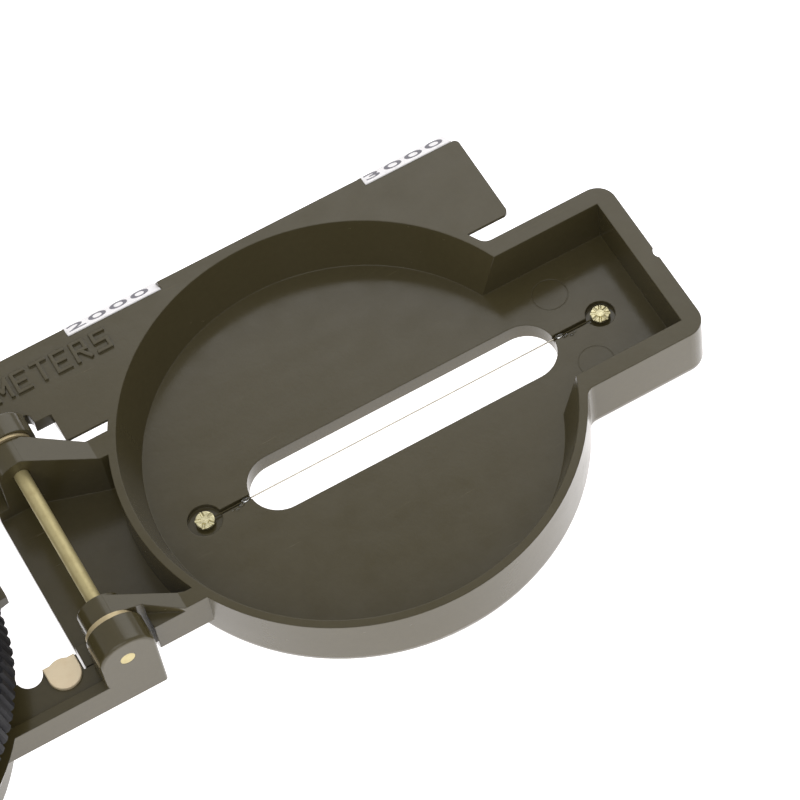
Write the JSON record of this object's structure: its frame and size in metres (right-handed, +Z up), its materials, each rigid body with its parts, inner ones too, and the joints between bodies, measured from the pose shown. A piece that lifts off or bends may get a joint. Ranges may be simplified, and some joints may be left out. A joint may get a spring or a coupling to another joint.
{
  "type": "sighting compass",
  "caption": "Folding olive-drab sighting compass lying open, with a slotted wire-sight cover, hinged lens bracket, ribbed bezel over a floating dial, straightedge and thumb ring.",
  "frame": {"origin": "on the base's flat underside, on the dial's axis", "axes": "+X along the sight line towards the opened cover's front, +Y towards the straightedge, +Z up"},
  "size_m": [0.1832, 0.0574, 0.0452],
  "materials": {
    "cover_plastic": "moulded olive-drab plastic, satin, lightly textured",
    "base_plastic": "moulded olive-drab plastic, satin, lightly textured",
    "bracket_plastic": "moulded olive-drab plastic, satin",
    "ring_plastic": "moulded olive-drab plastic, satin",
    "brass": "drawn and stamped brass, slightly dulled",
    "sighting_wire": "fine drawn wire",
    "label_white": "white label with grey printed numbers",
    "bezel_black": "black ribbed plastic with a faint gloss",
    "bezel_glass": "clear moulded window",
    "capsule_glass": "clear moulded capsule lid",
    "lens_glass": "clear moulded magnifier",
    "luminous_paint": "pale green luminous strip",
    "capsule_black": "black moulded capsule",
    "gasket_rubber": "soft black sealing ring",
    "steel": "plain steel",
    "card_print": "black dial card with pale printed degree marks",
    "lens_ring_black": "black moulded ring"
  },
  "bodies": {
    "base": {"base_shell": "base_plastic", "hinge_pin": "brass", "near_hinge_washer": "brass", "far_hinge_washer": "brass", "scale_label_1000": "label_white", "scale_label_0": "label_white", "brass_tab": "brass", "bezel_retainer": "steel", "capsule_bowl": "capsule_black", "capsule_gasket": "gasket_rubber", "capsule_crystal": "capsule_glass", "pivot_post": "steel", "eyepiece_pin": "brass", "thumb_ring_pin": "brass"},
    "cover": {"cover_shell": "cover_plastic", "sighting_wire": "sighting_wire", "front_wire_pin": "brass", "rear_wire_pin": "brass", "scale_label_3000": "label_white", "scale_label_2000": "label_white"},
    "bezel": {"bezel_ring": "bezel_black", "bezel_glass": "bezel_glass", "luminous_line": "luminous_paint"},
    "dial": {"dial_card": "card_print", "jewel_cup": "brass", "dial_magnets": "steel"},
    "eyepiece": {"lens_bracket": "bracket_plastic", "magnifying_lens": "lens_glass", "lens_retaining_ring": "lens_ring_black"},
    "thumb_loop": {"thumb_ring": "ring_plastic"}
  },
  "joints": [
    {"name": "cover_hinge", "type": "hinge", "parent": "base", "child": "cover", "pos_m": [0.0358, 0, 0.014], "axis": [0, -1, 0], "range_deg": [0, 180]},
    {"name": "bezel_turn", "type": "hinge", "parent": "base", "child": "bezel", "pos_m": [0, 0, 0.016], "axis": [0, 0, 1], "continuous": true},
    {"name": "dial_turn", "type": "hinge", "parent": "base", "child": "dial", "pos_m": [0, 0, 0.0102], "axis": [0, 0, 1], "continuous": true},
    {"name": "eyepiece_fold", "type": "hinge", "parent": "base", "child": "eyepiece", "pos_m": [-0.0345, 0, 0.0166], "axis": [0, 1, 0], "range_deg": [0, 72]},
    {"name": "thumb_ring_fold", "type": "hinge", "parent": "base", "child": "thumb_loop", "pos_m": [-0.0436, 0, 0.0019], "axis": [0, 1, 0], "range_deg": [-90, 90]}
  ],
  "couplings": [
    {"joint": "eyepiece_fold", "follows": "cover_hinge", "ratio": 0.4}
  ]
}
